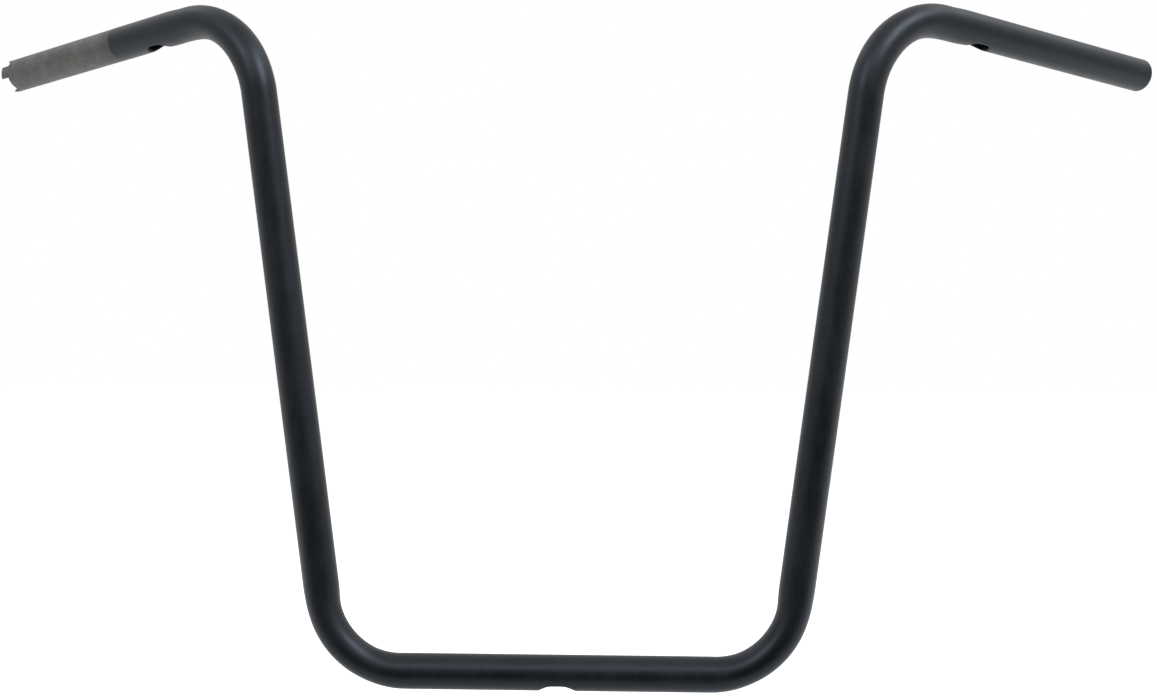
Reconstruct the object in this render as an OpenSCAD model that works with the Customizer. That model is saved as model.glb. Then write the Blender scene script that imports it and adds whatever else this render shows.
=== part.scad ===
// Touring handlebar: one steel tube bent to a tall U, with swept-back grips.
// Millimetres. The origin is the middle of the clamp section, on the tube axis.
// +X runs to the rider's left hand, +Y back towards the rider, +Z up.

/* [Tube] */
// Outside diameter of the tube, a 1 inch bar
tube_od = 25.4; // [22.2:0.1:31.8]
// Wall thickness of the tube
wall = 3.05; // [2:0.05:4]

/* [Straights] */
// Straight clamp section at the bottom, between the two lower bends
base_straight = 220; // [150:1:300]
// Straight of each upright, between its two bends
upright_straight = 364; // [150:1:500]
// Straight of each grip, from the upper bend to the open end
grip_straight = 215; // [205:1:300]

/* [Bends] */
// Radius of the lower bends, to the tube axis
lower_bend_r = 58.5; // [45:0.5:90]
// Lean of each upright away from vertical, in degrees
lean = 7.6; // [0:0.1:20]
// Radius of the upper bends, to the tube axis
upper_bend_r = 65.5; // [45:0.5:90]
// Angle turned through by each upper bend, in degrees
upper_bend_angle = 88.8; // [70:0.1:100]
// Turn of the upper bend's plane back towards the rider, in degrees
sweep_back = 34.4; // [0:0.1:50]

/* [Wiring slots] */
// Length of the slot under the clamp section
centre_slot_l = 27; // [22:0.5:40]
// Width of the slot under the clamp section
centre_slot_w = 19; // [10:0.5:20]
// Length of the slot under each grip
grip_slot_l = 20; // [16:0.5:30]
// Width of the slot under each grip
grip_slot_w = 13; // [8:0.5:15]
// Middle of each grip slot, measured from the open end
grip_slot_at = 180; // [140:1:185]

/* [Ends] */
// Depth of the throttle notches
notch_depth = 8; // [3:0.5:12]
// Width of the narrow notches, which face up-front and down-back
narrow_notch_w = 8.3; // [4:0.1:10]
// Width of the wide notches, which face down-front and up-back
wide_notch_w = 13.8; // [8:0.1:15]
// Direction of the narrow notches, in degrees round the grip from straight up to the front
narrow_notch_dir = 38; // [30:1:60]
// Direction of the wide notches, measured the same way
wide_notch_dir = 139; // [130:1:150]
// Rounding of the clutch end's outer edge
end_round = 2.5; // [0.5:0.1:2.8]
// Chamfer of the throttle end's outer edge
end_chamfer = 0.6; // [0.2:0.1:1.5]

/* [Hidden] */
$fn = 96;
bore_d = tube_od - 2 * wall;
lower_bend_angle = 90 - lean;
// How far a straight laps into the bend beside it, so that the two join as one solid
lap = 0.3;
// What the wall draws down by, inside and out, where the tube is bent
bend_draw = 0.02;
// What a cut runs past a face, so that it leaves no skin
over = 2;

// Steps along the tube. Inside each, +Z runs along the tube and the next bend turns to +X.
module past_straight(length) translate([0, 0, length]) children();

module past_bend(radius, angle)
    translate([radius * (1 - cos(angle)), 0, radius * sin(angle)])
        rotate([0, angle, 0]) children();

// Stations on the rider's left half, each reached from the one before
module at_middle() rotate([0, -90, 180]) children();

module at_lower_bend() at_middle() past_straight(base_straight / 2) children();

module at_upright() at_lower_bend() past_bend(lower_bend_r, lower_bend_angle) children();

module at_upper_bend()
    at_upright() past_straight(upright_straight) rotate([0, 0, 180 + sweep_back]) children();

module at_grip() at_upper_bend() past_bend(upper_bend_r, upper_bend_angle) children();

module at_tip() at_grip() past_straight(grip_straight) children();

// The other half is the same path mirrored
module on_throttle_side() mirror([1, 0, 0]) children();

module on_both_sides() {
    children();
    on_throttle_side() children();
}

// A straight length of tube along +Z, between two distances from the station it stands at
module straight(from, to) translate([0, 0, from]) difference() {
    cylinder(d = tube_od, h = to - from);
    translate([0, 0, -over]) cylinder(d = bore_d, h = to - from + 2 * over);
}

// A bent length of tube, which starts along +Z and turns to +X
module bend(radius, angle)
    translate([radius, 0, 0]) rotate([90, 0, 180])
        rotate_extrude(angle = angle) translate([radius, 0]) difference() {
            circle(d = tube_od - 2 * bend_draw);
            circle(d = bore_d + 2 * bend_draw);
        }

// One half of the bar from its lower bend to its upper bend
module half_run() {
    at_lower_bend() bend(lower_bend_r, lower_bend_angle);
    at_upright() straight(-lap, upright_straight + lap);
    at_upper_bend() bend(upper_bend_r, upper_bend_angle);
}

// The last of the clutch grip, whose outer edge is rounded over
module rounded_end() {
    flat_w = wall - end_round;
    rotate_extrude() translate([bore_d / 2, 0]) {
        square([flat_w, end_round]);
        translate([flat_w, 0]) intersection() {
            circle(end_round);
            square(end_round);
        }
    }
}

// The last of the throttle grip, whose outer edge is chamfered
module chamfered_end() difference() {
    cylinder(d1 = tube_od, d2 = tube_od - 2 * end_chamfer, h = end_chamfer);
    translate([0, 0, -over]) cylinder(d = bore_d, h = end_chamfer + 2 * over);
}

module clutch_grip() at_grip() {
    straight(-lap, grip_straight - end_round);
    past_straight(grip_straight - end_round) rounded_end();
}

module throttle_grip() at_grip() {
    straight(-lap, grip_straight - end_chamfer);
    past_straight(grip_straight - end_chamfer) chamfered_end();
}

// The tube before anything is cut in it
module bent_tube() {
    at_middle() straight(-base_straight / 2 - lap, base_straight / 2 + lap);
    on_both_sides() half_run();
    clutch_grip();
    on_throttle_side() throttle_grip();
}

// A round-ended slot through the wall on the +X side, long along the tube
module wiring_slot(length, width) {
    reach = tube_od / 2 + over;
    half = (length - width) / 2;
    for (side = [-half, half])
        translate([0, 0, side]) rotate([0, 90, 0]) cylinder(d = width, h = reach);
    translate([0, -width / 2, -half]) cube([reach, width, 2 * half]);
}

module wiring_slots() {
    // The slot under the clamp section opens straight down, away from the bends' inside
    at_middle() rotate([0, 0, 180]) wiring_slot(centre_slot_l, centre_slot_w);
    on_both_sides() at_tip() translate([0, 0, -grip_slot_at]) wiring_slot(grip_slot_l, grip_slot_w);
}

// A slot milled straight across the open end, which leaves two notches
module end_notch(direction, width)
    rotate([0, 0, direction])
        translate([-tube_od / 2 - over, -width / 2, -notch_depth])
            cube([tube_od + 2 * over, width, notch_depth + over]);

// Inside at_tip, +X points nearly straight down, so a direction from the top starts at 180
module throttle_notches() on_throttle_side() at_tip() {
    end_notch(180 + narrow_notch_dir, narrow_notch_w);
    end_notch(180 + wide_notch_dir, wide_notch_w);
}

// The whole handlebar: one bent tube with its slots and notches cut in it
module handlebar() {
    color([0.16, 0.165, 0.18]) difference() {
        bent_tube();
        wiring_slots();
        throttle_notches();
    }
}

handlebar();
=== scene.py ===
# %% [markdown]
# # A touring handlebar in matt black
# The real thing is one length of 1 inch steel tube. It is bent cold to a tall U, slotted for the
# wires, notched at the throttle end and powder coated, except for a bare length under the
# throttle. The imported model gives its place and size. This lesson builds the tube again as a finer
# mesh, with what the plain solid leaves out: bends that flatten a little, rounded rims and the
# coating's edge.

import math

import bmesh
import bpy
import numpy as np
from mathutils import Matrix, Vector


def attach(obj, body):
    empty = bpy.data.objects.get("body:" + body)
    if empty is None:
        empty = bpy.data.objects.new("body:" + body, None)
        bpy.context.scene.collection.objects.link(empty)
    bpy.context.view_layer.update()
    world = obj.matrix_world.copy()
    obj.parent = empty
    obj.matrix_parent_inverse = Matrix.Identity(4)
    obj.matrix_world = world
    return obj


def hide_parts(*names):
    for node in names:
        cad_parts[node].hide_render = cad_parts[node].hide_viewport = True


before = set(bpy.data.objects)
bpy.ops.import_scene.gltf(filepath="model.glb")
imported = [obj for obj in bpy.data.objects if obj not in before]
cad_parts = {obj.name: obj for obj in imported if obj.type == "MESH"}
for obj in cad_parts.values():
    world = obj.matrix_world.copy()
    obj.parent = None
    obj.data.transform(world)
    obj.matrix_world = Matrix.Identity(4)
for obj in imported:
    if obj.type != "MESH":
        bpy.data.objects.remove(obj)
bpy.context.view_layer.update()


# %% [markdown]
# ## The camera
# The photo was taken level with the middle of the bar, from almost straight ahead and 1.2 m away.
# A camera can be placed by eye, but here its place, turn and lens were worked out from the
# outline. The lens is written as a focal length in the photo's own pixels, which is what the
# outline gives.

# %% Place the camera
PHOTO_WIDTH = 1157
FOCAL_PIXELS = 1687.64
SENSOR_MM = 36
CAMERA_ROLL = 0.00563

eye = Vector((0.05902, -1.19913, 0.22447))
ahead = Vector((-0.03770, 0.99928, 0.00498)).normalized()
level = ahead.cross(Vector((0, 0, 1))).normalized()
upright = level.cross(ahead)
camera_x = level * math.cos(CAMERA_ROLL) + upright * math.sin(CAMERA_ROLL)
camera_y = upright * math.cos(CAMERA_ROLL) - level * math.sin(CAMERA_ROLL)

lens = bpy.data.cameras.new("photo_camera")
lens.sensor_width = SENSOR_MM
lens.lens = FOCAL_PIXELS / PHOTO_WIDTH * SENSOR_MM
camera = bpy.data.objects.new("photo_camera", lens)
camera_axes = Matrix((camera_x, camera_y, -ahead)).transposed().to_4x4()
camera.matrix_world = Matrix.Translation(eye) @ camera_axes
bpy.context.scene.collection.objects.link(camera)
bpy.context.scene.camera = camera
print("Lens in mm:", round(lens.lens, 2))

# %% [markdown]
# ## The bend path
# A tube bender works from a list: so much straight, then a bend of a set radius and angle, then so
# much straight again, with the tube turned in the machine between two bends. The same list makes
# the path here. A curve object with a round bevel would draw such a tube, but it can't flatten in
# the bends or carry slots. So the path is kept as legs, and any point of the tube is worked out
# from them.

# %% The tube's sizes and its bending list, in millimetres and degrees
MM = 0.001
TUBE_R = 12.7
BORE_R = 9.65
LEAN = 7.6
SWEEP_BACK = 34.4
HALF_BASE = 110.0
# Each leg of one half. A bend has a radius, an angle and the tube's turn in the machine before it.
# "flattened" is the share of its width lost, then how far past its start that comes in and over
# what length, and how far past its end it goes out and over what length.
BENDING_LIST = [
    {"length": HALF_BASE},
    {"radius": 58.5, "angle": 90 - LEAN, "turn": 0.0, "flattened": (0.075, (12, 34), (-1, 24))},
    {"length": 364.0},
    {"radius": 65.5, "angle": 88.8, "turn": 180 + SWEEP_BACK,
     "flattened": (0.055, (50, 44), (10, 18))},
    {"length": 215.0},
]


def turned(axis, degrees):
    """A turn about one of a frame's own axes, as a 3 by 3 matrix."""
    return np.array(Matrix.Rotation(math.radians(degrees), 3, axis))


# %% Walk the list and keep each leg
legs = []
place, pose, bottom = np.zeros(3), turned("Z", 180) @ turned("Y", -90), 180.0
travelled = 0.0
for step in BENDING_LIST:
    turn, radius, angle = step.get("turn", 0.0), step.get("radius"), step.get("angle", 0.0)
    # "bottom" is where the tube's underside lies, as an angle from the frame's own X
    pose, bottom = pose @ turned("Z", turn), bottom - turn
    length = step["length"] if radius is None else radius * math.radians(angle)
    legs.append({"start": travelled, "length": length, "radius": radius, "place": place,
                 "pose": pose, "bottom": bottom, "turn_after": 0.0,
                 "flattened": step.get("flattened")})
    if len(legs) > 1:
        legs[-2]["turn_after"] = turn
    along = (0, 0, length) if radius is None else (
        radius * (1 - math.cos(math.radians(angle))), 0, radius * math.sin(math.radians(angle)))
    place, pose = place + pose @ np.array(along), pose @ turned("Y", angle)
    travelled += length
TIP = travelled
BENDS = [(leg["start"], leg["start"] + leg["length"]) for leg in legs if leg["radius"]]
print("Half the tube's length:", round(TIP, 2), "mm; its open end at", place.round(2))

# %% [markdown]
# ## A place anywhere on the tube
# Cold bending makes a round tube slightly flat: in the photo it is 5 to 7 % narrower across a
# bend, measured in the bend's own plane. Real tubes also bulge a little the other way, which is
# left out so that the tube stays inside the solid. The upper bends were drawn from the upright
# outwards, and the flattening builds up over their first half. Where they end, the pushed steel
# leaves a low belly on the inside, just before the grip's slot. Beside the slot's rear lip the
# tube is dented, and on the clutch side the dent lies a little nearer the bend.

# %% How flat the tube is along its bends
def ease(value):
    """0 below 0, 1 above 1, and a smooth step between."""
    value = np.clip(value, 0.0, 1.0)
    return value * value * (3 - 2 * value)


def flatness(distance):
    """The share of its round width that the tube keeps across a bend."""
    kept = 1.0
    for leg in legs:
        if leg["flattened"]:
            amount, (from_start, fade_in), (past_end, fade_out) = leg["flattened"]
            end = leg["start"] + leg["length"] + past_end
            kept -= amount * (ease((distance - leg["start"] - from_start) / fade_in + 0.5)
                              * ease((end - distance) / fade_out + 0.5))
    return kept


print("Kept width in the lower bend:", round(float(flatness(150.0)), 3),
      "and in an upright:", round(float(flatness(400.0)), 3))

# %% The belly and the dent that bending leaves
GRIP_SLOT = TIP - 180.0
BELLY, BELLY_REACH, BELLY_BEFORE_END = 1.1, 16.0, 5
DENT, DENT_REACH = 1.7, 8.5
DENT_TURN, DENT_SPREAD = 0.60, 0.55     # radians round from the inside of the bend
CLUTCH_DENT_IN = 7.0


def pushed(s, turn):
    """How far the steel stands proud of a round tube, in mm: the belly, less the dent."""
    near_belly = math.exp(-((abs(s) - BENDS[1][1] + BELLY_BEFORE_END) / BELLY_REACH) ** 2)
    dent_at = GRIP_SLOT - (CLUTCH_DENT_IN if s > 0 else 0.0)
    near_dent = math.exp(-((abs(s) - dent_at) / DENT_REACH) ** 2)
    off = np.angle(np.exp(1j * (turn - DENT_TURN))) / DENT_SPREAD
    low_belly = BELLY * near_belly * np.clip(np.cos(turn), 0, 1) ** 2
    return low_belly - DENT * near_dent * np.exp(-off ** 2)


print("Belly of", BELLY, "mm, dent of", DENT, "mm beside the slot at", round(GRIP_SLOT, 1), "mm")

# %% Any ring of the tube, and the points round it
def ring_at(s):
    """The ring at s mm along the axis from the middle. Below 0 it is on the throttle side."""
    distance = abs(s)
    leg = [candidate for candidate in legs if candidate["start"] <= distance + 1e-9][-1]
    gone = distance - leg["start"]
    if leg["radius"]:
        angle = gone / leg["radius"]
        centre = leg["place"] + leg["pose"] @ np.array(
            (leg["radius"] * (1 - math.cos(angle)), 0, leg["radius"] * math.sin(angle)))
        frame_here, bottom_here = leg["pose"] @ turned("Y", math.degrees(angle)), leg["bottom"]
    else:
        # the far half of a straight already stands as the next bend needs it
        turn = leg["turn_after"] if gone > leg["length"] / 2 else 0.0
        centre = leg["place"] + leg["pose"] @ np.array((0, 0, gone))
        frame_here, bottom_here = leg["pose"] @ turned("Z", turn), leg["bottom"] - turn
    return {"centre": centre, "frame": frame_here, "bottom": bottom_here,
            "flat": flatness(distance), "mirror": -1.0 if s < 0 else 1.0}


def on_tube(s, degrees, radius, shift=0.0):
    """Points on the tube in mm, one for each of degrees. These run round from the line that is
    the underside of the clamp section, carried along the tube."""
    ring = ring_at(s)
    turn = np.radians(np.asarray(degrees, float) + ring["bottom"])
    x_axis, y_axis, z_axis = ring["frame"].T
    radius = radius + pushed(s, turn)
    points = (ring["centre"] + np.outer(radius * ring["flat"] * np.cos(turn), x_axis)
              + np.outer(radius * np.sin(turn), y_axis)
              + np.outer(np.broadcast_to(shift, turn.shape), z_axis))
    return points * (ring["mirror"], 1, 1)


print("The underside of the clamp section is at", on_tube(0.0, [0.0], TUBE_R).round(2))

# %% [markdown]
# ## Columns that meet every edge
# The mesh is a grid of rings and columns, outside and inside. A boolean cut would leave long thin
# faces round each slot, and they shade badly. Here the grid is bent to suit instead: the columns
# turn slightly to lie square to the grip slots, spread wider inside the tube round a slot, and
# gather at the sides of the notches. Each hole is then a window of the grid, filled by rings of
# its own.

# %% The columns, the slots and the notches
COLUMNS = 96
COLUMN = 360 / COLUMNS
# The grip slots open downwards, on the inside of the upper bend. The columns settle to that angle
# over a stretch of the upright.
SLOT_TURN = SWEEP_BACK
GRIP_COLUMN = round(SLOT_TURN / COLUMN)
SETTLE = SLOT_TURN - GRIP_COLUMN * COLUMN
SETTLE_FROM, SETTLE_OVER = 200, 340

# A slot's window reaches half_window along the tube and half_columns round it, and inside the tube
# it spreads to the angle "inside".
GRIP_SLOT_SIZES = {"column": GRIP_COLUMN, "turn": SLOT_TURN, "length": 20.0, "width": 13.0,
                   "half_window": 14.0, "half_columns": 11, "inside": 52.0, "rim": 1.3}
SLOTS = [
    {"name": "centre", "at": 0.0, "column": 0, "turn": 0.0, "length": 27.0, "width": 19.0,
     "half_window": 17.5, "half_columns": 16, "inside": 86.0, "rim": 0.5},
    {"name": "clutch", "at": GRIP_SLOT, **GRIP_SLOT_SIZES},
    {"name": "throttle", "at": -GRIP_SLOT, **GRIP_SLOT_SIZES},
]
WINDOW_FADE = 20.0              # past a window, the inside columns close up over this length

NOTCH_DEPTH = 8.0
# Degrees round from the inside of the bend, and width
NOTCHES = [(38.0, 8.3), (139.0, 13.8), (218.0, 8.3), (319.0, 13.8)]
NOTCH_RIM = 0.8
NOTCH_FADE = 26.0               # the columns gather over this length before the notches
NOTCH_SETTLED = 2               # and stand right for this last stretch of it
NOTCH_FLOOR = TIP - NOTCH_DEPTH


def teeth_edges(radius):
    """The teeth between the notches, as (start, end) in the degrees that on_tube takes."""
    edges = []
    for (direction, width), (after, after_width) in zip(NOTCHES, NOTCHES[1:] + NOTCHES[:1]):
        start = direction + math.degrees(math.asin(width / 2 / radius))
        end = after % 360 - math.degrees(math.asin(after_width / 2 / radius))
        end += 360 if end < start else 0
        edges.append((start - ring_at(-TIP)["bottom"], end - ring_at(-TIP)["bottom"]))
    return edges


outer_teeth, inner_teeth = teeth_edges(TUBE_R), teeth_edges(BORE_R)
teeth_columns = [(round((a + c) / 2 / COLUMN), round((b + d) / 2 / COLUMN))
                 for (a, b), (c, d) in zip(outer_teeth, inner_teeth)]
print("Teeth, in columns:", teeth_columns)

# %% How far each column stands round the tube
def gathered(teeth, radius):
    """Column angles at the notched end, which meet the side of each tooth less its rounding."""
    rim = math.degrees(NOTCH_RIM / radius)
    knots = sorted((column + lap * COLUMNS, angle + lap * 360) for lap in (-1, 0, 1)
                   for (first, last), (start, end) in zip(teeth_columns, teeth)
                   for column, angle in ((first, start + rim), (last, end - rim)))
    return np.interp(np.arange(COLUMNS), *zip(*knots))


def columns_at(s, inside):
    """The columns' angles on the ring at s, on the tube's outside or inside."""
    settled = SETTLE * float(np.clip((abs(s) - SETTLE_FROM) / SETTLE_OVER, 0, 1))
    angles = np.arange(COLUMNS) * COLUMN + settled
    if inside:
        for slot in SLOTS:
            share = 1 - ease((abs(s - slot["at"]) - slot["half_window"]) / WINDOW_FADE)
            half = slot["half_columns"] * COLUMN
            off = (angles - slot["turn"] + 180) % 360 - 180
            spread = np.sign(off) * np.interp(abs(off), (0, half, 180), (0, slot["inside"], 180))
            angles = angles + share * (spread - off)
    if s < 0:
        share = ease((-s - (NOTCH_FLOOR - NOTCH_FADE)) / (NOTCH_FADE - NOTCH_SETTLED))
        teeth, radius = (inner_teeth, BORE_R) if inside else (outer_teeth, TUBE_R)
        angles = angles + share * (gathered(teeth, radius) - angles)
    return angles


print("Column 16 inside the centre slot is at", round(columns_at(0.0, True)[16], 1), "degrees")

# %% [markdown]
# ## The coating's edge
# The throttle grip is masked before the powder goes on, so that a twist sleeve can turn on plain
# steel. The mask leaves a real step about as thick as a sheet of paper, and it isn't quite square
# to the tube: it lies some 3 mm further in on the side that faces the camera. The rings beside it
# lean over to follow it, and the bare tube is made thinner by the coating's thickness.

# %% The edge of the coating
COAT = 0.08
BARE_R = TUBE_R - COAT
BARE_LENGTH = 133.6
COAT_EDGE = TIP - BARE_LENGTH
EDGE_SLANT, EDGE_FACING = -2.8, 285     # mm towards the open end, on the side towards the camera
EDGE_WANDER = [(0.16, 5, 1.0), (0.10, 11, 2.2), (0.06, 23, 0.0)]   # mm, waves round, phase
EDGE_REACH = 16.0               # rings within this of the edge lean over to follow it
EDGE_MARKS = [-16, -11, -7, -4, -2, -0.9, -0.12, 0.0, 0.06, 0.9, 2, 4, 7, 11, 16]


def edge_shift(degrees):
    """How far the coating's edge runs towards the open end, round the tube."""
    turn = np.radians(np.asarray(degrees) + ring_at(-TIP)["bottom"])
    wander = sum(size * np.sin(waves * turn + phase) for size, waves, phase in EDGE_WANDER)
    return EDGE_SLANT * np.cos(turn - math.radians(EDGE_FACING)) + wander


print("The coating ends", BARE_LENGTH, "mm from the throttle end")

# %% Marks along the tube, one for each ring
CLUTCH_ROUND = 2.5
INNER_RIM = 0.3
BESIDE_BEND = 12                # rings stand closer for this length before and after a bend


def spread_marks(start, end, step):
    """Even marks from start up to end, which is left out, at most a step apart."""
    count = max(1, math.ceil((end - start) / step - 1e-9))
    return [start + (end - start) * i / count for i in range(count)]


def chained(*spans):
    """Marks over spans that follow on: each is (where it starts, the step in it)."""
    starts = [start for start, _ in spans]
    return [mark for (start, step), end in zip(spans, starts[1:]) for mark in
            spread_marks(start, end, step)]


(low_start, low_end), (high_start, high_end) = BENDS
centre_window, grip_window = SLOTS[0]["half_window"], SLOTS[1]["half_window"]
past_slot = GRIP_SLOT + grip_window
shared = chained((0, 2.5), (centre_window, 4.5), (40, 8), (low_start - BESIDE_BEND, 2),
                 (low_start, 2.05), (low_end, 2), (low_end + BESIDE_BEND, 9),
                 (high_start - BESIDE_BEND, 2), (high_start, 2.3), (high_end, 2),
                 (GRIP_SLOT - grip_window, 2), (past_slot, 2))
clutch_marks = shared + chained((past_slot, 7), (TIP - 12, 3), (TIP - CLUTCH_ROUND - 1, 1),
                                (TIP - CLUTCH_ROUND, 1)) + [TIP - CLUTCH_ROUND]
throttle_marks = (shared + chained((past_slot, 4), (COAT_EDGE - EDGE_REACH, 4))
                  + [COAT_EDGE + mark for mark in EDGE_MARKS]
                  + chained((COAT_EDGE + EDGE_REACH, 7), (NOTCH_FLOOR - NOTCH_FADE, 3),
                            (NOTCH_FLOOR - NOTCH_SETTLED, 0.8), (NOTCH_FLOOR - NOTCH_RIM, 1))[1:]
                  + [NOTCH_FLOOR - NOTCH_RIM])
tooth_marks = [NOTCH_FLOOR + 0.6, NOTCH_FLOOR + 2.6, NOTCH_FLOOR + 4.8,
               TIP - 1.6, TIP - NOTCH_RIM]
marks = [-m for m in reversed(throttle_marks[1:] + tooth_marks)] + [0.0] + clutch_marks[1:]
TOOTH_RINGS = len(tooth_marks)
print(len(marks), "rings of", COLUMNS, "columns, outside and inside")

# %% [markdown]
# ## The tube's two skins
# The outside and the inside are laid point by point, ring by ring. Points that fall inside a
# slot's window, or in a notch, aren't made at all. Each point also remembers how far it lies from
# the coating's edge, because the finish changes there, and that is easier to measure here than to
# paint.

# %% A skin that grows loop by loop
FAR_UNDER_COAT = -500.0         # what a point far from the coating's edge remembers, in mm


class Skin:
    """Points and faces of one mesh, with the finish of each face."""

    def __init__(self):
        self.points, self.from_edge, self.faces, self.finishes = [], [], [], []

    def lay(self, points, from_edge=FAR_UNDER_COAT):
        """Adds points in mm, and gives their numbers."""
        first = len(self.points)
        self.points += [tuple(point) for point in points]
        self.from_edge += list(np.broadcast_to(from_edge, len(points)))
        return list(range(first, len(self.points)))

    def face(self, corners, finish):
        self.faces.append(tuple(corners))
        self.finishes.append(finish)

    def bridge(self, one, other, finish):
        """A closed band of faces between two loops with as many points."""
        for i, j in zip(range(len(one)), [*range(1, len(one)), 0]):
            self.face((one[i], one[j], other[j], other[i]), finish)


COATED, BARE, BORE = 0, 1, 2
skin = Skin()

# %% Which points of the grid are there
SAME_RING = 0.01                # a ring this close to a place, in mm, is taken to lie on it
made = np.ones((len(marks), COLUMNS), bool)
windows = []
for slot in SLOTS:
    rings = [j for j, s in enumerate(marks)
             if abs(s - slot["at"]) < slot["half_window"] + SAME_RING]
    first, last = rings[0], rings[-1]
    reach = range(-slot["half_columns"] + 1, slot["half_columns"])
    for j in rings[1:-1]:
        made[j, [(slot["column"] + k) % COLUMNS for k in reach]] = False
    windows.append((slot, first, last))
for j in range(TOOTH_RINGS):
    made[j] = False
    for start, end in teeth_columns:
        made[j, [k % COLUMNS for k in range(start, end + 1)]] = True
print(int(made.sum()), "points on each skin")

# %% Lay the outside and the inside
SHOULDER = 0.03                 # how far the coating has thinned at its very edge


def outside_radius(s):
    """The coated tube's radius, or the bare tube's past the coating's edge."""
    past = -s - COAT_EDGE
    if past < -SAME_RING:
        return TUBE_R
    return TUBE_R - SHOULDER if past < SAME_RING else BARE_R


def lay_grid(inside):
    """The points of one skin. A point that isn't made has the number -1."""
    grid = np.full((len(marks), COLUMNS), -1)
    for j, s in enumerate(marks):
        angles, here = columns_at(s, inside), made[j]
        shift, past = np.zeros(COLUMNS), -s - COAT_EDGE
        if s < 0:
            shift = edge_shift(angles) * (1 - ease(abs(past) / EDGE_REACH))
        from_edge = past + shift - edge_shift(angles)
        if inside:
            points = on_tube(s, angles, BORE_R)
        else:
            points = on_tube(s, angles, outside_radius(s), shift)
        grid[j, here] = skin.lay(points[here], from_edge[here])
    return grid


outer, inner = lay_grid(False), lay_grid(True)
print(len(skin.points), "points on both skins")


# %% Join the points with faces
def face_grid(grid, finish_of):
    """Faces between neighbours that are all made, except across a window's own corners."""
    for j in range(len(marks) - 1):
        for k in range(COLUMNS):
            corners = (grid[j, k], grid[j, (k + 1) % COLUMNS],
                       grid[j + 1, (k + 1) % COLUMNS], grid[j + 1, k])
            if min(corners) >= 0 and not in_gap(j, k):
                skin.face(corners, finish_of(j))


def in_gap(j, k):
    """True where the face at ring j, column k would close a window or a notch."""
    for slot, first, last in windows:
        off = (k - slot["column"] + COLUMNS // 2) % COLUMNS - COLUMNS // 2
        if first <= j < last and -slot["half_columns"] <= off < slot["half_columns"]:
            return True
    in_tooth = any((k - start) % COLUMNS < end - start for start, end in teeth_columns)
    return j < TOOTH_RINGS and not in_tooth


first_coated = next(j for j, s in enumerate(marks) if -s - COAT_EDGE < SAME_RING)
face_grid(outer, lambda j: BARE if j + 1 < first_coated else COATED)
face_grid(inner, lambda j: BORE)
print(len(skin.faces), "faces on the two skins")

# %% [markdown]
# ## Rims
# Every hole and end is deburred before coating, so no edge is sharp, and it is the rounded rim
# that catches the light. A bevel modifier could round them, but a rim that follows a curved tube
# pinches in it. So each rim is made of loops: from the outside skin round a quarter turn to the
# cut wall, along the wall, and round another quarter turn to the inside skin.

# %% Roll a rim from the outside skin to the inside skin
def roll_rim(out_loop, out_edge, in_edge, in_loop, rims, finishes, from_edge=FAR_UNDER_COAT,
             steps=4):
    """Joins two loops of points over the sharp edges that they stop short of."""
    outside = np.array([skin.points[n] for n in out_loop])
    inside = np.array([skin.points[n] for n in in_loop])
    across = in_edge - out_edge
    across /= np.linalg.norm(across, axis=1)[:, None]
    loops = []
    for turn in np.radians(np.linspace(0, 90, steps + 1)[1:]):
        loops.append(out_edge + (1 - math.sin(turn)) * (outside - out_edge)
                     + rims[0] * (1 - math.cos(turn)) * across)
    for turn in np.radians(np.linspace(90, 0, steps)[:-1]):
        loops.append(in_edge + (1 - math.sin(turn)) * (inside - in_edge)
                     - rims[1] * (1 - math.cos(turn)) * across)
    numbers = [out_loop, *[skin.lay(loop, from_edge) for loop in loops], in_loop]
    for i, (one, other) in enumerate(zip(numbers, numbers[1:])):
        skin.bridge(one, other, finishes[0] if i <= steps else finishes[1])


# %% The clutch end, rounded over as the coating shows
last = len(marks) - 1
round_loop = list(outer[last])
bore_angles = columns_at(TIP, True)
end_loop = skin.lay(on_tube(TIP - INNER_RIM, bore_angles, BORE_R))
skin.bridge(list(inner[last]), end_loop, BORE)
roll_rim(round_loop, on_tube(TIP, columns_at(TIP, False), TUBE_R),
         on_tube(TIP, bore_angles, BORE_R), end_loop, (CLUTCH_ROUND, INNER_RIM), (COATED, BORE),
         steps=8)
print("Clutch end closed with a", CLUTCH_ROUND, "mm rounding")

# %% [markdown]
# ## The notched throttle end
# Four notches in the end of the bare grip key the body of a throttle sensor that slides into the
# bore. They are milled straight across, so the sides of each tooth are parallel and the teeth are
# narrower inside than outside. One closed loop climbs each tooth, runs over it, and drops to the
# next notch's floor, and the same rim is rolled along it as at the other end.

# %% Follow the notched edge once round
def notched_loop():
    """(ring, column, tooth side) for each point of the castle-shaped edge, in order."""
    loop = []
    for tooth, (start, end) in enumerate(teeth_columns):
        following = teeth_columns[(tooth + 1) % len(teeth_columns)][0]
        following += COLUMNS if following < end else 0
        loop += [(j, start, (tooth, 0)) for j in range(TOOTH_RINGS, -1, -1)]
        loop += [(0, k, None) for k in range(start + 1, end)]
        loop += [(j, end, (tooth, 1)) for j in range(TOOTH_RINGS + 1)]
        loop += [(TOOTH_RINGS, k, None) for k in range(end + 1, following)]
    return loop


def sharp_edge(loop, inside):
    """Where the unrounded edge would lie beside each point of the loop."""
    radius, teeth = (BORE_R, inner_teeth) if inside else (BARE_R, outer_teeth)
    points = []
    for j, k, side in loop:
        s = -TIP if j == 0 else -NOTCH_FLOOR if j == TOOTH_RINGS else marks[j]
        angle = teeth[side[0]][side[1]] if side else columns_at(marks[j], inside)[k % COLUMNS]
        points.append(on_tube(s, [angle], radius)[0])
    return np.array(points)


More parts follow.
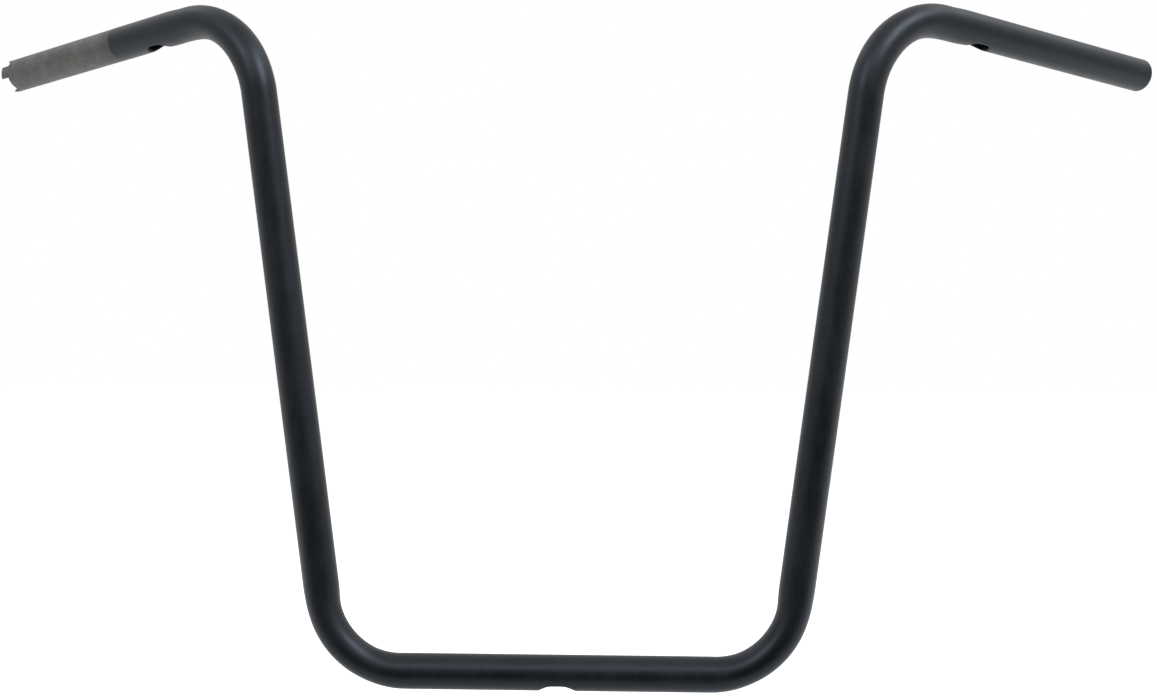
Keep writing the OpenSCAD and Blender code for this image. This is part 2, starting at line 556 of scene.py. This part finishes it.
notched = notched_loop()
roll_rim([int(outer[j, k % COLUMNS]) for j, k, _ in notched], sharp_edge(notched, False),
         sharp_edge(notched, True), [int(inner[j, k % COLUMNS]) for j, k, _ in notched],
         (NOTCH_RIM, INNER_RIM), (BARE, BARE), from_edge=130.0)     # all far past the edge
print("Notched edge of", len(notched), "points")

# %% [markdown]
# ## The wiring slots
# Three round-ended slots let the switch wires into the tube: one between the risers and one under
# each grip. They are milled straight up into the tube, so their walls are parallel and grow taller
# towards the tube's sides. Loops change from the grid's square window to the slot's own outline.

# %% The outline of one slot and of its window
def slot_outline(x, y, half_x, half_y, length, width):
    """The point of a round-ended slot that belongs to the point (x, y) of its square window."""
    path = abs(y) if abs(x) > half_x - 1e-6 else half_y + half_x - abs(x)
    share = path / (half_x + half_y)
    arc = math.pi * width / 4
    run = share * (arc + (length - width) / 2)
    if run <= arc:
        turn = run / width * 2
        px, py = (length - width) / 2 + width / 2 * math.cos(turn), width / 2 * math.sin(turn)
    else:
        px, py = (length - width) / 2 - (run - arc), width / 2
    return math.copysign(px, x), math.copysign(py, y)


def window_loop(slot, first, last):
    """(ring, column from the slot's own middle column) round the edge of its window."""
    half = slot["half_columns"]
    return ([(last, k) for k in range(0, half)] + [(j, half) for j in range(last, first, -1)]
            + [(first, k) for k in range(half, -half, -1)]
            + [(j, -half) for j in range(first, last)] + [(last, k) for k in range(-half, 0)])


print("Windows at", [round(slot["at"], 1) for slot, _, _ in windows], "mm from the middle")

# %% Cut each slot
FROM_WINDOW = (0.4, 0.75, 1.0)  # a loop lies at each share of the way from window to rim


def cut_slot(slot, first, last):
    """Fills a slot's window on both skins, and rolls the rim between them."""
    loop = window_loop(slot, first, last)
    sides = []
    for inside, radius, grid, rim in ((False, TUBE_R, outer, slot["rim"]),
                                      (True, BORE_R, inner, INNER_RIM)):
        half_y = slot["inside"] if inside else slot["half_columns"] * COLUMN
        half_arc = math.radians(half_y) * radius
        window = np.array([(marks[j] - slot["at"], k / slot["half_columns"] * half_arc)
                           for j, k in loop])
        # a milled slot's wall is straight, so the inside takes the outline found for the outside
        planar = sides[0]["planar"] if inside else np.array(
            [slot_outline(x, y, slot["half_window"], half_arc, slot["length"], slot["width"])
             for x, y in window])
        outline = np.column_stack((planar[:, 0], radius * np.arcsin(planar[:, 1] / radius)))
        back = window - outline
        back /= np.linalg.norm(back, axis=1)[:, None]
        stop = outline + rim * back

        def on_skin(flat, radius=radius):
            return np.array([on_tube(slot["at"] + x, [slot["turn"] + math.degrees(y / radius)],
                                     radius)[0] for x, y in flat])

        numbers = [int(grid[j, (slot["column"] + k) % COLUMNS]) for j, k in loop]
        for share in FROM_WINDOW:
            following = skin.lay(on_skin(window + share * (stop - window)))
            skin.bridge(numbers, following, BORE if inside else COATED)
            numbers = following
        sides.append({"planar": planar, "edge": on_skin(outline), "loop": numbers})
    roll_rim(sides[0]["loop"], sides[0]["edge"], sides[1]["edge"], sides[1]["loop"],
             (slot["rim"], INNER_RIM), (COATED, BORE), steps=6)
    print(slot["name"], "slot:", len(loop), "points round its outline")


for slot, first, last in windows:
    cut_slot(slot, first, last)

# %% [markdown]
# ## One closed mesh
# The skins and rims share their points, so they join into one closed mesh with no seam. Face
# directions are set in one go at the end, which is simpler than minding them in each loop. Then
# the mesh takes the solid's place, and its open edges, loose points and volume are measured.

# %% Make the handlebar tube
mesh = bpy.data.meshes.new("handlebar_tube")
mesh.from_pydata([tuple(MM * v for v in point) for point in skin.points], [], skin.faces)
mesh.polygons.foreach_set("material_index", skin.finishes)
mesh.attributes.new("from_coat_edge", "FLOAT", "POINT").data.foreach_set("value", skin.from_edge)

work = bmesh.new()
work.from_mesh(mesh)
bmesh.ops.recalc_face_normals(work, faces=work.faces)
open_edges = sum(1 for edge in work.edges if not edge.is_manifold)
loose = sum(1 for vert in work.verts if not vert.link_faces)
solid_mm3 = work.calc_volume() / MM ** 3
work.to_mesh(mesh)
work.free()
mesh.shade_smooth()

tube = bpy.data.objects.new("handlebar_tube", mesh)
bpy.context.scene.collection.objects.link(tube)
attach(tube, "root")
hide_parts("handlebar")
print(len(mesh.polygons), "faces,", open_edges, "open edges,", loose, "loose points, steel of",
      round(solid_mm3), "mm3")

# %% [markdown]
# ## Mixing a finish
# A material is a small sum: take a noise, scale it, add it to a colour. Written as nodes that sum
# is hard to read, so a node's output is wrapped here, and plain + and * add the nodes that do it.

# %% A socket that can be used in sums
class Tap:
    """An output of a node. Sums on it add nodes: Math for numbers, Vector Math for vectors, Mix
    for colours."""

    def __init__(self, recipe, socket):
        self.recipe, self.socket = recipe, socket

    def _sum(self, operation, first, second):
        if self.socket.type == "RGBA":
            settings = {"data_type": "RGBA", "blend_type": operation}
            return self.recipe.node("ShaderNodeMix", settings, {0: 1.0, 6: first, 7: second}, 2)
        kind = "ShaderNodeVectorMath" if self.socket.type == "VECTOR" else "ShaderNodeMath"
        return self.recipe.node(kind, {"operation": operation}, {0: first, 1: second})

    def __add__(self, other):
        return self._sum("ADD", self, other)

    def __radd__(self, other):
        return self._sum("ADD", other, self)

    def __sub__(self, other):
        return self._sum("SUBTRACT", self, other)

    def __rsub__(self, other):
        return self._sum("SUBTRACT", other, self)

    def __mul__(self, other):
        return self._sum("MULTIPLY", self, other)

    def __rmul__(self, other):
        return self._sum("MULTIPLY", other, self)


# %% A recipe that holds the nodes of one finish
class Recipe:
    """The nodes of one material or world."""

    def __init__(self, owner):
        owner.use_nodes = True
        self.tree = owner.node_tree
        self.tree.nodes.clear()

    def node(self, kind, settings=None, inputs=None, output=0):
        """Adds a node: its type, its settings, then the values or links of its sockets."""
        made_node = self.tree.nodes.new(kind)
        for name, value in (settings or {}).items():
            setattr(made_node, name, value)
        for name, value in (inputs or {}).items():
            if isinstance(value, Tap):
                self.tree.links.new(value.socket, made_node.inputs[name])
            else:
                made_node.inputs[name].default_value = value
        return Tap(self, made_node.outputs[output]) if made_node.outputs else made_node

    def noise(self, where, size_mm, detail=2.0, roughness=0.5):
        """A soft random pattern whose lumps are about size_mm across, from 0 to 1."""
        return self.node("ShaderNodeTexNoise", {}, {"Vector": where, "Scale": 1 / (size_mm * MM),
                                                    "Detail": detail, "Roughness": roughness})

    def between(self, share, one, other):
        """A colour that runs from one to other as share runs from 0 to 1."""
        return self.node("ShaderNodeMix", {"data_type": "RGBA"}, {0: share, 6: one, 7: other}, 2)

    def rising(self, value, low, high):
        """0 below low, 1 above high, and a smooth step between."""
        return self.node("ShaderNodeMapRange", {"interpolation_type": "SMOOTHSTEP"},
                         {"Value": value, "From Min": low, "From Max": high})


def new_finish(name):
    """An empty material and its recipe."""
    material = bpy.data.materials.new(name)
    return material, Recipe(material)


# %% [markdown]
# ## The powder coat
# Matt black powder is sprayed on dry and baked. It flows just enough to leave a fine skin like
# orange peel, two or three millimetres across, on top of a dusty grain. It is a dark plastic and
# not a metal: its colour is almost black, and what shows is a blue-grey sheen off its surface. Two
# noises in the bump make the skin. A slow cloud and long faint wisps, where hands and cloths have
# passed, keep the sheen from looking like new glass.

# %% Matt black powder coat
coat, coat_recipe = new_finish("matt_black_powder_coat")
where = coat_recipe.node("ShaderNodeTexCoord", output=3)
drawn_out = where * (1.0, 1.0, 0.2)
cloud = coat_recipe.noise(where, 28.0, detail=3.0)
wisps = coat_recipe.noise(drawn_out, 5.0, detail=4.0, roughness=0.65)
grain = coat_recipe.noise(where, 0.55, detail=2.0, roughness=0.6)
peel = coat_recipe.noise(where, 2.4, detail=1.0)
dusty = coat_recipe.rising(cloud * 0.4 + wisps * 0.4 + grain * 0.2, 0.36, 0.66)
coat_colour = coat_recipe.between(dusty, (0.0010, 0.0012, 0.0017, 1), (0.0048, 0.0053, 0.0064, 1))
coat_skin = coat_recipe.node("ShaderNodeBump", {}, {
    "Strength": 0.6, "Distance": 0.00009, "Height": peel * 0.6 + grain * 0.4})
coat_shader = coat_recipe.node("ShaderNodeBsdfPrincipled", {}, {
    "Base Color": coat_colour, "Roughness": 0.35 + dusty * 0.09 + grain * 0.05,
    "IOR": 1.42, "Specular Tint": (0.78, 0.88, 1.0, 1), "Sheen Weight": 0.006,
    "Sheen Roughness": 0.4, "Normal": coat_skin})
coat_recipe.node("ShaderNodeOutputMaterial", {}, {"Surface": coat_shader})
print("Coat of", len(coat_recipe.tree.nodes), "nodes")

# %% [markdown]
# ## The bare grip
# Under the mask the steel keeps its dull mill grey. It is cloudy where hands and oil have dried on
# it, has a warmer cast than the coating, and is darker for a centimetre or two next to the
# coating, where the mask didn't seal well and the blasting stopped.

# %% Dull bare steel
bare, bare_recipe = new_finish("bare_mill_steel")
where = bare_recipe.node("ShaderNodeTexCoord", output=3)
from_edge = bare_recipe.node("ShaderNodeAttribute", {"attribute_name": "from_coat_edge"}, output=2)
along = bare_recipe.node("ShaderNodeMapping", {"vector_type": "POINT"}, {
    "Vector": where, "Rotation": (0, 0, math.radians(SWEEP_BACK)), "Scale": (0.25, 1, 1)})
patches = bare_recipe.noise(where, 12.0, detail=4.0, roughness=0.6)
wipes = bare_recipe.noise(along, 3.5, detail=3.0, roughness=0.6)
specks = bare_recipe.noise(where, 0.9, detail=3.0, roughness=0.7)
clean = bare_recipe.rising(from_edge + patches * 12.0, 4.0, 26.0)
mottle = bare_recipe.rising(patches * 0.45 + wipes * 0.20 + specks * 0.35, 0.36, 0.64)
steel_tone = bare_recipe.between(mottle, (0.095, 0.091, 0.085, 1), (0.157, 0.151, 0.142, 1))
steel_colour = bare_recipe.between(clean, (0.086, 0.084, 0.080, 1), steel_tone)
steel_skin = bare_recipe.node("ShaderNodeBump", {}, {
    "Strength": 0.5, "Distance": 0.00005, "Height": specks * 0.7 + wipes * 0.3})
bare_shader = bare_recipe.node("ShaderNodeBsdfPrincipled", {}, {
    "Base Color": steel_colour, "Metallic": 0.7, "Roughness": 0.44 + patches * 0.16 + specks * 0.08,
    "Normal": steel_skin})
bare_recipe.node("ShaderNodeOutputMaterial", {}, {"Surface": bare_shader})
print("Bare steel of", len(bare_recipe.tree.nodes), "nodes")

# %% [markdown]
# ## The bore
# Inside the tube there is only drawn steel with a film of oil and stray powder. Little light gets
# in, so it needs no more than a dark brownish steel with some unevenness.

# %% Dark drawn steel
bore, bore_recipe = new_finish("dark_drawn_bore")
where = bore_recipe.node("ShaderNodeTexCoord", output=3)
film = bore_recipe.noise(where, 6.0, detail=3.0)
bore_shader = bore_recipe.node("ShaderNodeBsdfPrincipled", {}, {
    "Base Color": bore_recipe.between(film, (0.018, 0.018, 0.018, 1), (0.050, 0.046, 0.040, 1)),
    "Metallic": 0.3, "Roughness": 0.55 + film * 0.2})
bore_recipe.node("ShaderNodeOutputMaterial", {}, {"Surface": bore_shader})

for material in (coat, bare, bore):
    mesh.materials.append(material)
print("Finishes:", [material.name for material in mesh.materials])

# %% [markdown]
# ## The studio
# The photo has a pure white ground, and its light can be read off the tube, because each strip of
# the coating mirrors one direction. Overhead and behind the bar it is white. The room behind the
# camera is dark, which is why the uprights have a black middle, and the floor's glow starts some
# way back, which keeps the undersides dark. The ground is white through Light Path alone, so it
# puts no more light on the bar. Seen from below, the floor is clear.

# %% A white sky that is dark on the camera's side
WORLD_LEVEL = 0.55
DARK_SIDE = Vector((0.06, -0.97, -0.22)).normalized()


def grey(level):
    return (level, level, level, 1)


def seen_by(recipe, *names):
    """1 for the kinds of ray named, and 0 for light on things."""
    ray = recipe.node("ShaderNodeLightPath").socket.node
    seen = Tap(recipe, ray.outputs[names[0]])
    for name in names[1:]:
        seen = recipe.node("ShaderNodeMath", {"operation": "MAXIMUM"},
                           {0: seen, 1: Tap(recipe, ray.outputs[name])})
    return seen


world = bpy.data.worlds.new("white_studio")
bpy.context.scene.world = world
sky = Recipe(world)
direction = sky.node("ShaderNodeTexCoord", output=0)
toward_dark = sky.node("ShaderNodeVectorMath", {"operation": "DOT_PRODUCT"},
                       {0: direction, 1: DARK_SIDE}, 1)
height = sky.node("ShaderNodeSeparateXYZ", {}, {0: direction}, 2)
dark_share = sky.rising(toward_dark, 0.06, 0.93) * (1 - sky.rising(height, 0.12, 0.60))
mirrored = sky.between(dark_share, grey(0.90), grey(0.12))      # bright room, dark room
lit_or_mirrored = sky.between(seen_by(sky, "Is Glossy Ray"), grey(WORLD_LEVEL), mirrored)
shown = sky.between(seen_by(sky, "Is Camera Ray", "Is Transmission Ray"), lit_or_mirrored,
                    grey(1.0))
ground = sky.node("ShaderNodeBackground", {}, {"Color": shown, "Strength": 1.0})
sky.node("ShaderNodeOutputWorld", {}, {"Surface": ground})
print("The world lights things at a level of", WORLD_LEVEL)

# %% A pale floor that glows white to the camera
FLOOR_LEVEL = -0.25
FLOOR_FRONT = -0.28
FLOOR_HALF_WIDTH, FLOOR_BACK = 15, 25
FLOOR_TONE = 0.86               # the floor's own colour
CAMERA_GLOW = 0.54              # what brings it up to white
DISTANT_GLOW = (0.50, 0.49, 0.47, 1)

floor_finish, floor_recipe = new_finish("pale_floor")
matt = floor_recipe.node("ShaderNodeBsdfDiffuse", {}, {"Color": grey(FLOOR_TONE)})
spot = floor_recipe.node("ShaderNodeNewGeometry", output=0)
away = floor_recipe.node("ShaderNodeVectorMath", {"operation": "DISTANCE"},
                         {0: spot, 1: (0.0, FLOOR_FRONT - 0.1, FLOOR_LEVEL)}, 1)
mirrored_glow = floor_recipe.between(floor_recipe.rising(away, 0.4, 1.6), grey(0.0), DISTANT_GLOW)
in_gloss = floor_recipe.between(seen_by(floor_recipe, "Is Glossy Ray"), grey(0.0), mirrored_glow)
in_view = floor_recipe.between(seen_by(floor_recipe, "Is Camera Ray"), in_gloss, grey(CAMERA_GLOW))
glow = floor_recipe.node("ShaderNodeEmission", {}, {"Color": in_view, "Strength": 1.0})
paper = floor_recipe.node("ShaderNodeAddShader", {}, {0: matt, 1: glow})
underside = floor_recipe.node("ShaderNodeNewGeometry", output=6)
floor_recipe.node("ShaderNodeOutputMaterial", {}, {
    "Surface": floor_recipe.node("ShaderNodeMixShader", {}, {
        0: underside, 1: paper, 2: floor_recipe.node("ShaderNodeBsdfTransparent")})})

sheet = bpy.data.meshes.new("floor")
sheet.from_pydata([(-FLOOR_HALF_WIDTH, FLOOR_FRONT, FLOOR_LEVEL),
                   (FLOOR_HALF_WIDTH, FLOOR_FRONT, FLOOR_LEVEL),
                   (FLOOR_HALF_WIDTH, FLOOR_BACK, FLOOR_LEVEL),
                   (-FLOOR_HALF_WIDTH, FLOOR_BACK, FLOOR_LEVEL)], [], [(0, 1, 2, 3)])
sheet.materials.append(floor_finish)
floor = bpy.data.objects.new("floor", sheet)
bpy.context.scene.collection.objects.link(floor)
print("Floor at", FLOOR_LEVEL, "m, from", FLOOR_FRONT, "m back")

# %% [markdown]
# ## The soft lamps
# Five large soft lamps stand high round the bar. One to the right and one to the left draw the
# blue-grey streaks in the bends. A weaker one between them draws the pale line along the clamp
# section. Two further round, beside and behind the bar, brighten the upper sides of the grips.
# Their places are given as directions, because that is how they were read off the tube, and their
# strength as a radiance, so that a lamp can be made larger without making it brighter.

# %% Hang the lamps
COOL = (0.88, 0.935, 1.0)
LAMP_REACH, LAMP_AIM = 4.0, Vector((0, 0, 0.3))
# Degrees right of the camera's side, degrees above level, radiance, then width and height in metres
LAMPS = {
    "lamp_right": (51, 42, 9.6, (1.8, 1.7)),
    "lamp_left": (-37, 31, 6.5, (1.6, 1.2)),
    "lamp_between": (10, 41, 2.6, (3.4, 1.0)),
    "lamp_back_right": (98, 50, 1.4, (3.2, 1.8)),
    "lamp_back_left": (-115, 50, 0.9, (2.0, 1.8)),
}


def soft_lamp(name, azimuth, height, radiance, size):
    """A far lamp that faces the bar and doesn't show to the camera."""
    side, rise = math.radians(azimuth), math.radians(height)
    place = LAMP_AIM + LAMP_REACH * Vector((math.cos(rise) * math.sin(side),
                                            -math.cos(rise) * math.cos(side), math.sin(rise)))
    lamp = bpy.data.lights.new(name, "AREA")
    lamp.shape, lamp.size, lamp.size_y = "RECTANGLE", size[0], size[1]
    lamp.energy, lamp.color = radiance * size[0] * size[1] * math.pi, COOL
    stand = bpy.data.objects.new(name, lamp)
    turn = (LAMP_AIM - place).to_track_quat("-Z", "Y").to_matrix().to_4x4()
    stand.matrix_world = Matrix.Translation(place) @ turn
    stand.visible_camera = False
    bpy.context.scene.collection.objects.link(stand)
    print(name, "of", round(lamp.energy), "W at", [round(v, 2) for v in place])


for name, settings in LAMPS.items():
    soft_lamp(name, *settings)

# %% [markdown]
# ## Plain colours
# The picture keeps plain colours, with no film look on top. The mesh has to stay inside the
# solid's.

# %% Keep the colours plain
bpy.context.scene.view_settings.view_transform = "Standard"
